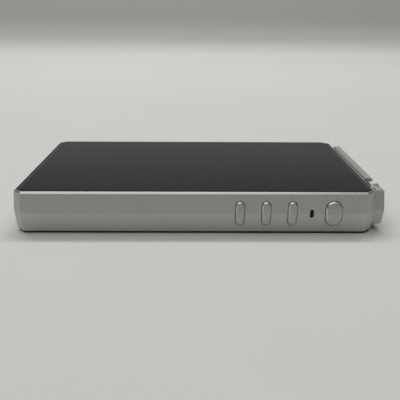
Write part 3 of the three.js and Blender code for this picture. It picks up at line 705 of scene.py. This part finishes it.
bosses = []
for node in frame["nodes"]:
    if "board_screw" in node or "bracket_screw" in node:
        x, y = middle(node)[:2]
        rise = BOARD_SCREW_RISE if "board" in node else BRACKET_SCREW_RISE
        bosses.append(post("boss", BOSS_RADIUS, x, y, span(node)[0][2] + rise, FLOOR_FOOT + 0.1))
cutters = [side_slot("slot", middle(node)[0], *size) for node, size in buttons.items()]
cutters.append(side_slot("slot", middle("indicator_window")[0], *INDICATOR_SLOT, INDICATOR_RIM))
for node, (_, barrel) in jacks.items():
    cutters.append(bore("hole", barrel + FIT_GAP, -HALF_LENGTH, CUT_PAST - INNER_X,
                        middle(node)[1], RIDGE, HOLE_RIM))
usb_low, usb_high = span("usb_socket")
cutters.append(lying_slot("hole", *CABLE_MOUTH, -HALF_LENGTH, CUT_PAST - INNER_X, 0.0, RIDGE))
card_x, _, card_z = middle("card_socket")
cutters.append(block(
    "hole", (card_x - CARD_MOUTH[0], INNER_Y - CUT_PAST, card_z - CARD_MOUTH[1]),
    (card_x + CARD_MOUTH[0], HALF_WIDTH + 1, card_z + CARD_MOUTH[1]), 0.05))
cutters.append(bore("hole", SHAFT_BORE, HALF_LENGTH, INNER_X - CUT_PAST, wheel_y, wheel_z,
                    steps=40))
screw_places = [middle(f"guard_screw_{i}") for i in (1, 2)]
for spot in screw_places:
    cutters.append(bore("hole", SCREW_BORE, HALF_LENGTH, INNER_X - CUT_PAST, *spot[1:], steps=24))
combined(frame_shell, bosses, "UNION")
combined(frame_shell, cutters, "DIFFERENCE")
place(frame_shell, "body", "anodised_frame", finishes["anodised_frame"], ["main_frame"], 24)

# ---- Guard ----------------------------------------------------------------------------------------

guard_low, guard_high = span("end_guard")
GUARD_CHAMFER, NOTCH_HALF, NOTCH_EDGE = 0.55, 4.95, 0.35
SEAT_GAP, GROOVE_DEPTH, SCREW_REACH = 0.1, 0.85, 4.8
GUARD_ROOT, GUARD_SEAT = HALF_LENGTH - FACET_LEAN, HALF_LENGTH + SEAT_GAP
GROOVE_FLOOR = BODY_HEIGHT - GROOVE_DEPTH
shoulder_inset = LEAN_SLOPE * (guard_high[2] - GUARD_CHAMFER - RIDGE)
guard_profile = softened_run(np.array([
    (LEAN_SLOPE * (RIDGE - guard_low[2]) + FOOT_CHAMFER, guard_low[2]),
    (LEAN_SLOPE * (RIDGE - guard_low[2]), guard_low[2] + FOOT_CHAMFER), (0.0, RIDGE),
    (shoulder_inset, guard_high[2] - GUARD_CHAMFER),
    (shoulder_inset + GUARD_CHAMFER, guard_high[2]),
    (shoulder_inset + GUARD_CHAMFER + 0.5, guard_high[2])]),
    np.array([0.05, 0.08, 0.12, 0.1, 0.1, 0.05]), 3)


def guard_outline(inset):
    """Guard seen from above: three sides move in with the inset and the seat side stays."""
    inset = np.asarray(inset, float)
    x0, x1 = np.full(len(inset), GUARD_ROOT), guard_high[0] - inset
    y0, y1 = guard_low[1] + inset, guard_high[1] - inset
    corners = np.stack([np.stack([x0, y0], -1), np.stack([x1, y0], -1),
                        np.stack([x1, y1], -1), np.stack([x0, y1], -1)], 1)
    return softened(corners, np.array([0.05, 0.25, 0.25, 0.05]), 3)


def seat(name):
    """Cutter for the body's V section: its own shape, moved out by the seat's gap."""
    low, high = guard_low[2] - 1, guard_high[2] + 1
    section = np.array([(GUARD_ROOT - 1, low), (GUARD_SEAT - LEAN_SLOPE * (RIDGE - low), low),
                        (GUARD_SEAT, RIDGE), (GUARD_SEAT - LEAN_SLOPE * (high - RIDGE), high),
                        (GUARD_ROOT - 1, high)])
    ends = np.array([guard_low[1] - 1, guard_high[1] + 1])[:, None]
    return solid(name, lofted(np.stack([
        np.broadcast_to(section[:, 0], (2, 5)), np.broadcast_to(ends, (2, 5)),
        np.broadcast_to(section[:, 1], (2, 5))], -1)))


def notch(name):
    """Cutter for the wheel's notch: round below, straight sides above, chamfered at the top."""
    turn = np.linspace(math.pi, 2 * math.pi, 41)
    arc = NOTCH_HALF * np.stack([np.cos(turn), np.sin(turn)], -1)
    top, wide = guard_high[2] - wheel_z, NOTCH_HALF + NOTCH_EDGE
    sides = np.array([[NOTCH_HALF, top - NOTCH_EDGE], [wide, top], [wide, top + 1],
                      [-wide, top + 1], [-wide, top], [-NOTCH_HALF, top - NOTCH_EDGE]])
    outline = np.concatenate([arc, sides])
    places = [guard_low[0] - 1, guard_high[0] + 1]
    return solid(name, lofted(along_x(np.stack([outline, outline]), places, wheel_y, wheel_z)))


guard_shell = solid("guard_shell", lofted(
    at_heights(guard_outline(guard_profile[:, 0]), guard_profile[:, 1])))
cutters = [bore("hole", SCREW_BORE, guard_low[0], INNER_X + SCREW_REACH, *spot[1:], steps=24)
           for spot in screw_places]
cutters.append(block("groove", (GUARD_ROOT - 1, guard_low[1] - 1, GROOVE_FLOOR),
                     (GUARD_SEAT, guard_high[1] + 1, guard_high[2] + 1), 0.02))
combined(guard_shell, [seat("seat"), notch("notch"), *cutters], "DIFFERENCE")
soften = guard_shell.modifiers.new("soften", "BEVEL")
soften.width, soften.segments = 0.12 * MM, 2
soften.limit_method, soften.angle_limit = "ANGLE", math.radians(30)
settled(guard_shell)
place(guard_shell, "body", "anodised_frame", blasted("anodised_guard", GUARD_LEVEL, 0.02),
      ["end_guard"], 40)

# ---- Glass and cover ------------------------------------------------------------------------------


def pane(name, foot, top, inset, foot_edge, top_edge, radius=0.08):
    """Flat pane with the body's outline and a bevel on each face.

    The foot's bevel is at 45 degrees and the top's has a width and a height.
    """
    across, down = top_edge
    run = softened_run(np.array([
        (inset + foot_edge + 0.6, foot), (inset + foot_edge, foot), (inset, foot + foot_edge),
        (inset, top - down), (inset + across, top), (inset + across + 0.6, top)]),
        np.array([0.02, foot_edge * 0.3, foot_edge * 0.3, radius, radius, 0.02]), 3)
    return solid(name, lofted(at_heights(body_outline(run[:, 0]), run[:, 1])))


glass_low, glass_high = span("front_glass")
glass_panel = pane("glass_panel", glass_low[2], glass_high[2], RIM_INSET + GLASS_GAP, 0.08,
                   (0.9, 0.25), 0.25)
place(glass_panel, "body", "front_glass", finishes["front_glass"], ["front_glass"], 50)

cover_low, cover_high = span("back_cover")
back_panel = pane("back_panel", cover_low[2], cover_high[2], HALF_LENGTH - cover_high[0],
                  0.06, (0.05, 0.05), 0.03)
place(back_panel, "body", "back_glass", finishes["back_glass"], ["back_cover"], 50)

# ---- Buttons and indicator ------------------------------------------------------------------------


def button_cap(node, width, length):
    """V-faced cap, its neck, the flange behind the wall and the stub that meets the switch.

    Each ring is a round-ended outline shrunk by an amount, at a depth that follows the V of the
    face as far as the bevel's foot and is the same all round behind it. The bevel is flat, at 45
    degrees, with both its edges eased.
    """
    x = middle(node)[0]
    low, high = span(node)
    front, stub_end = low[1], high[1]
    flange_front = FIT_GAP - INNER_Y
    cap_back = -INNER_Y - 0.45
    run = softened_run([(width / 2, 0), (BUTTON_BEVEL, 0), (0, BUTTON_BEVEL),
                        (0, BUTTON_BEVEL + 0.1)], [0.1, 0.15, 0.1, 0.1], 3)
    rings = []
    for shrink, depth in run:
        points = obround(width - 2 * shrink, length - 2 * shrink)
        y = front + LEAN_SLOPE * np.abs(points[:, 1]) + depth
        rings.append(np.stack([points[:, 0] + x, y, points[:, 1] + RIDGE], -1))
    behind = ((0, cap_back), (0, flange_front), (0.6, flange_front), (0.6, flange_front + 0.5),
              (0.8 - width / 2, flange_front + 0.5), (0.8 - width / 2, stub_end - 0.1),
              (0.7 - width / 2, stub_end))
    rings.append(np.stack([rings[-1][:, 0], np.full(len(rings[-1]), cap_back), rings[-1][:, 2]], -1))
    for grow, y in behind:
        long = 2 * (width / 2 + grow) if grow < -0.1 else length + 2 * grow
        points = obround(width + 2 * grow, long)
        up = np.minimum(points[:, 1], FLOOR_FOOT - FIT_GAP - RIDGE)
        rings.append(np.stack([points[:, 0] + x, np.full(len(points), y), up + RIDGE], -1))
    made = solid(node.replace("_button", "_cap"), lofted(rings, foot_fan=False))
    points = np.empty(len(made.data.vertices) * 3, np.float32)
    made.data.vertices.foreach_get("co", points)
    y, z = points[1::3] / MM, points[2::3] / MM
    behind_face = y - front - LEAN_SLOPE * np.abs(z - RIDGE)
    bevel = (behind_face > 0.01) & (behind_face < BUTTON_BEVEL + 0.02)
    made.data.attributes.new("bevel", "FLOAT", "POINT").data.foreach_set(
        "value", bevel.astype(np.float32))
    return made


for node, size in buttons.items():
    cap = place(button_cap(node, *size), node, "anodised_button", finishes["anodised_button"],
                [node], 40)
    creased(cap, RIDGE)


def indicator_lens():
    """Smoked window with a slightly crowned front: each ring stands back as a circle does."""
    low, high = span("indicator_window")
    width, length = high[0] - low[0], high[2] - low[2]
    shrinks = np.linspace(width / 2, 0, 7)
    crown = 0.14 * (1 - np.sqrt(1 - (1 - shrinks / (width / 2)) ** 2))
    depths = np.concatenate([low[1] + crown, [high[1] - 0.05, high[1]]])
    rings = []
    for shrink, y in zip(np.concatenate([shrinks, [0, 0.05]]), depths):
        points = obround(width - 2 * shrink, length - 2 * shrink, 8)
        rings.append(np.stack([points[:, 0] + (low[0] + high[0]) / 2, np.full(len(points), y),
                               points[:, 1] + RIDGE], -1))
    return solid("indicator_lens", lofted(rings, foot_fan=False))


place(indicator_lens(), "body", "indicator", finishes["indicator"], ["indicator_window"], 50)

# ---- Volume wheel ---------------------------------------------------------------------------------

KNURLS, KNURL_STEPS, KNURL_DEPTH = 40, 8, 0.22
wheel_low, wheel_high = span("volume_wheel")
WHEEL_RADIUS = wheel_high[2] - wheel_z
WHEEL_EDGE, SHAFT_HOLE = 0.4, 0.8


def volume_crown():
    """Knurled wheel about the X axis.

    Each ring has a place along the axis, a radius and a share of the knurl. A groove's depth at
    an angle is the knurl depth times that share times a flattened triangle wave. The outer face
    has a shallow dish with a raised middle, and the back is bored for the shaft.
    """
    x0, x1, r, e = wheel_low[0], wheel_high[0], WHEEL_RADIUS, WHEEL_EDGE
    rows = np.array([
        (x1 - 1.0, SHAFT_HOLE, 0), (x0 + 0.1, SHAFT_HOLE, 0), (x0, SHAFT_HOLE + 0.1, 0),
        (x0, r - e - 0.1, 0), (x0 + 0.03, r - e, 0), (x0 + e - 0.05, r - 0.03, 0.75),
        (x0 + e, r, 1), (x0 + e + 0.3, r, 1), (x1 - e - 0.3, r, 1), (x1 - e, r, 1),
        (x1 - e + 0.05, r - 0.03, 0.75), (x1 - 0.03, r - e, 0), (x1, r - e - 0.1, 0),
        (x1, r - 1.0, 0), (x1 - 0.18, r - 1.25, 0), (x1 - 0.18, 1.1, 0), (x1 - 0.06, 0.8, 0),
        (x1 - 0.02, 0.4, 0)])
    turn = np.linspace(0, 2 * math.pi, KNURLS * KNURL_STEPS, endpoint=False)
    wave = np.abs((turn * KNURLS / (2 * math.pi)) % 1 - 0.5) * 2
    groove = np.clip(wave * 1.35 - 0.3, 0, 1)[None] * rows[:, 2:]
    radii = rows[:, 1:2] - KNURL_DEPTH * groove
    rings = np.stack([np.broadcast_to(rows[:, :1], radii.shape),
                      wheel_y + radii * np.cos(turn), wheel_z + radii * np.sin(turn)], -1)
    made = solid("volume_crown", lofted(rings))
    points = np.empty(len(made.data.vertices) * 3, np.float32)
    made.data.vertices.foreach_get("co", points)
    points = points.reshape(-1, 3) / MM
    reach = np.hypot(points[:, 1] - wheel_y, points[:, 2] - wheel_z)
    rim = (points[:, 0] > x0 + e - 0.1) & (points[:, 0] < x1 - e + 0.1) & (reach > r - 0.5)
    depth = np.where(rim, np.clip((r - reach) / KNURL_DEPTH, 0, 1), 0)
    made.data.attributes.new("groove", "FLOAT", "POINT").data.foreach_set(
        "value", depth.astype(np.float32))
    return made


place(volume_crown(), "volume_wheel", "knurled_wheel", finishes["knurled_wheel"],
      ["volume_wheel"], 50)

# ---- Sockets --------------------------------------------------------------------------------------


def rounded_case(name, low, high, radius=0.35):
    """Case along X: a rounded rectangle whose ends are drawn in by the radius."""
    turn = np.linspace(0, math.pi / 2, 4)
    pull = radius * (1 - np.sin(turn))
    ends = radius * (1 - np.cos(turn))
    insets = np.concatenate([pull, pull[::-1]])
    places = np.concatenate([low[0] + ends, high[0] - ends[::-1]])
    y0, y1 = low[1] + insets, high[1] - insets
    z0, z1 = low[2] + insets, high[2] - insets
    corners = np.stack([np.stack([y0, z0], -1), np.stack([y1, z0], -1),
                        np.stack([y1, z1], -1), np.stack([y0, z1], -1)], 1)
    return solid(name, lofted(along_x(softened(corners, radius + 0.01), places)))


def barrel_socket(node, hole, barrel):
    """Jack: a moulded case, a barrel through the wall and a blind bore."""
    low, high = span(node)
    y = (low[1] + high[1]) / 2
    case = rounded_case(node.replace("_jack", "_socket"), (-INNER_X + FIT_GAP, low[1], low[2]), high)
    rows = np.array([(low[0], barrel - 0.25), (low[0] + 0.1, barrel - 0.05),
                     (low[0] + 0.25, barrel), (-INNER_X + 0.5, barrel)])
    tube = solid("tube", lofted(along_x(circle(1, 64)[None] * rows[:, 1, None, None],
                                        rows[:, 0], y, RIDGE)))
    combined(case, [tube], "UNION")
    return combined(case, [bore("hole", hole, low[0], high[0] - 1, y, RIDGE, 0.18, 64)],
                    "DIFFERENCE")


def contact_ring(name, node, hole, depth, width):
    """Sprung contact inside a jack: a ring whose bore necks in by a smooth arch."""
    low = span(node)[0]
    share = np.linspace(0, 1, 9)
    inner = hole - 0.05 - 0.2 * np.sin(math.pi * share)
    places = low[0] + depth + width * share
    radii = np.concatenate([inner, [hole + 0.1, hole + 0.1]])
    places = np.concatenate([places, [places[-1], places[0]]])
    turn = np.linspace(0, 2 * math.pi, 48, endpoint=False)
    y = middle(node)[1]
    rings = np.stack([np.broadcast_to(places[:, None], (len(places), 48)),
                      y + radii[:, None] * np.cos(turn), RIDGE + radii[:, None] * np.sin(turn)], -1)
    size = len(turn)
    row = np.arange(len(places))[:, None]
    after = (row + 1) % len(places)
    spot = np.arange(size)
    beside = (spot + 1) % size
    quads = np.stack([row * size + spot, row * size + beside, after * size + beside,
                      after * size + spot], -1).reshape(-1, 4)
    return solid(name, (rings.reshape(-1, 3), quads.tolist()))


for node, (hole, barrel) in jacks.items():
    label = node.replace("_jack", "")
    place(barrel_socket(node, hole, barrel), "body", "black_plastic", finishes["black_plastic"],
          [node], 30)
    for i, depth in enumerate((1.2, 4.2)):
        place(contact_ring(f"{label}_contact_{i + 1}", node, hole, depth, 0.8), "body", "brass",
              finishes["brass"])


def cable_socket():
    """Cable socket: an obround shell rolled over at its mouth, closed behind."""
    width, height, shell = usb_high[1] - usb_low[1], usb_high[2] - usb_low[2], 0.3
    mouth, back = usb_low[0], usb_high[0]
    turn = np.linspace(0, math.pi, 7)
    lip = shell / 2 * (1 + np.cos(turn)) - shell
    rows = [(-0.15, back), (0, back - 0.15)]
    rows += [(grow, mouth + shell / 2 * (1 - math.sin(a))) for grow, a in zip(lip, turn)]
    rows += [(-shell, back - 1)]
    outlines = np.stack([obround(height + 2 * grow, width + 2 * grow)[:, ::-1]
                         for grow, _ in rows])
    return solid("cable_socket", lofted(along_x(outlines, [x for _, x in rows], 0.0, RIDGE)))


def socket_tongue():
    """Moulded tongue in the cable socket, rounded at its nose."""
    width, height = usb_high[1] - usb_low[1] - 2.4, 0.7
    nose = np.linspace(0, math.pi / 2, 5)
    grows = np.concatenate([-0.2 * (1 - np.sin(nose)), [0.0]])
    places = np.concatenate([usb_low[0] + 1 + 0.2 * (1 - np.cos(nose)), [usb_high[0] - 0.9]])
    outlines = np.stack([obround(height + 2 * grow, width + 2 * grow)[:, ::-1] for grow in grows])
    return solid("socket_tongue", lofted(along_x(outlines, places, 0.0, RIDGE)))


def socket_contacts():
    """Twelve contacts on each side of the tongue, each a low strip with a rounded front."""
    across = (np.arange(12) - 5.5) * 0.5
    outline = softened(np.array([[usb_low[0] + 1.5, -0.13], [usb_low[0] + 5.0, -0.13],
                                 [usb_low[0] + 5.0, 0.13], [usb_low[0] + 1.5, 0.13]]), 0.06, 2)
    strips = []
    for side in (-1, 1):
        for y in across:
            levels = RIDGE + side * np.array([0.3, 0.39])
            strips.append(lofted(at_heights(np.stack([outline + (0, y)] * 2), levels)))
    return solid("socket_contacts", joined(strips))


place(cable_socket(), "body", "steel", finishes["steel"], ["usb_socket"], 40)
place(socket_tongue(), "body", "black_plastic", finishes["black_plastic"], (), 40)
place(socket_contacts(), "body", "brass", finishes["brass"], (), 40)

# ---- Table, backdrop and light --------------------------------------------------------------------

# The darker wall tone blended in over these heights is painted shade.
WALL_FOOT = (-2.0, 22.0)         # heights over which the table's tone turns into the wall's
LAMP_COLOUR, SKY_COLOUR, SKY_LEVEL = (1.0, 1.0, 0.985), (0.98, 1.0, 0.99, 1.0), 0.25


def table_finish():
    """Pale matt table: its tone wanders slowly, and painted light makes it lighter towards the far side.

    The walls are painted darker as shade at their foot and again higher up, and the wall on the near
    side is painted nearly black as shade, so that the upper facet of the button side has something dark to
    reflect.
    """
    finish = Finish("table", metallic=0.0, specular_ior_level=0.25)
    cloud = finish.noise(60.0, 3.0)
    height = finish.axis("Z")
    base = finish.mix(cloud, rgb(0.755, 0.765, 0.735), rgb(0.795, 0.804, 0.777))
    # Painted light: the table's colour is lighter towards the far side.
    base = finish.mix(finish.axis("Y").rise(200.0, 430.0) * 0.7, base, rgb(0.86, 0.87, 0.84))
    # Painted shade: the walls are given a darker colour than the table.
    base = finish.mix(height.rise(*WALL_FOOT), base, rgb(0.575, 0.58, 0.57))
    # Painted shade: the walls turn darker again higher up.
    base = finish.mix(height.rise(90.0, 260.0), base, rgb(0.33, 0.335, 0.337))
    # Painted shade: the wall on the near side is painted nearly black, standing for the dark of an unlit room.
    painted_dark_near_wall = height.rise(*WALL_FOOT) * finish.axis("Y").rise(-600.0, -700.0)
    finish.colour(finish.mix(painted_dark_near_wall, base, rgb(0.05, 0.05, 0.05)))
    finish.rough(0.72 + cloud * 0.1)
    return finish.material


def backdrop():
    """Table whose edge bends up all round through a quarter circle into a wall."""
    half_length, near, far, bend, height = 1.8, 0.80, 0.60, 0.05, 1.1
    turn = np.linspace(0, math.pi / 2, 13)
    grow = np.append(bend * np.sin(turn), bend)
    x, y0, y1 = half_length + grow, -near - grow, far + grow
    corners = np.stack([np.stack([x, y0], -1), np.stack([x, y1], -1),
                        np.stack([-x, y1], -1), np.stack([-x, y0], -1)], 1)
    rings = at_heights(softened(corners, 0.3, 12), np.append(bend * (1 - np.cos(turn)), height))
    count, size = rings.shape[:2]
    points = rings.reshape(-1, 3)
    place_on, row = np.arange(size), np.arange(count - 1)[:, None] * size
    after = (place_on + 1) % size
    faces = np.stack([row + after, row + place_on, row + size + place_on, row + size + after],
                     -1).reshape(-1, 4).tolist() + [place_on.tolist()]
    mesh = bpy.data.meshes.new("table")
    mesh.from_pydata(points.tolist(), [], faces)
    mesh.shade_smooth()
    mesh.materials.append(table_finish())
    made = bpy.data.objects.new("table", mesh)
    scene.collection.objects.link(made)


backdrop()


def lamp(name, place_m, aim_m, size, power):
    """Soft rectangular lamp aimed at a point."""
    light = bpy.data.lights.new(name, "AREA")
    light.shape, light.size, light.size_y = "RECTANGLE", *size
    light.energy, light.color = power, LAMP_COLOUR
    made = bpy.data.objects.new(name, light)
    back = unit(np.array(place_m, float) - np.array(aim_m, float))
    side = unit(np.cross([0, 1, 0], back))
    turn = np.eye(4)
    turn[:3, :3] = np.stack([side, np.cross(back, side), back], axis=1)
    turn[:3, 3] = place_m
    made.matrix_world = Matrix(turn.tolist())
    scene.collection.objects.link(made)


lamp("strip", (0.0, 0.45, 1.0), (0, 0, 0), (1.2, 0.16), 4.6)
lamp("ceiling", (-0.35, -0.05, 1.3), (-0.2, 0, 0), (1.7, 1.6), 7.4)

world = bpy.data.worlds.new("room")
scene.world = world
world.use_nodes = True
sky = world.node_tree.nodes["Background"].inputs
sky["Color"].default_value, sky["Strength"].default_value = SKY_COLOUR, SKY_LEVEL
scene.view_settings.view_transform = "Standard"
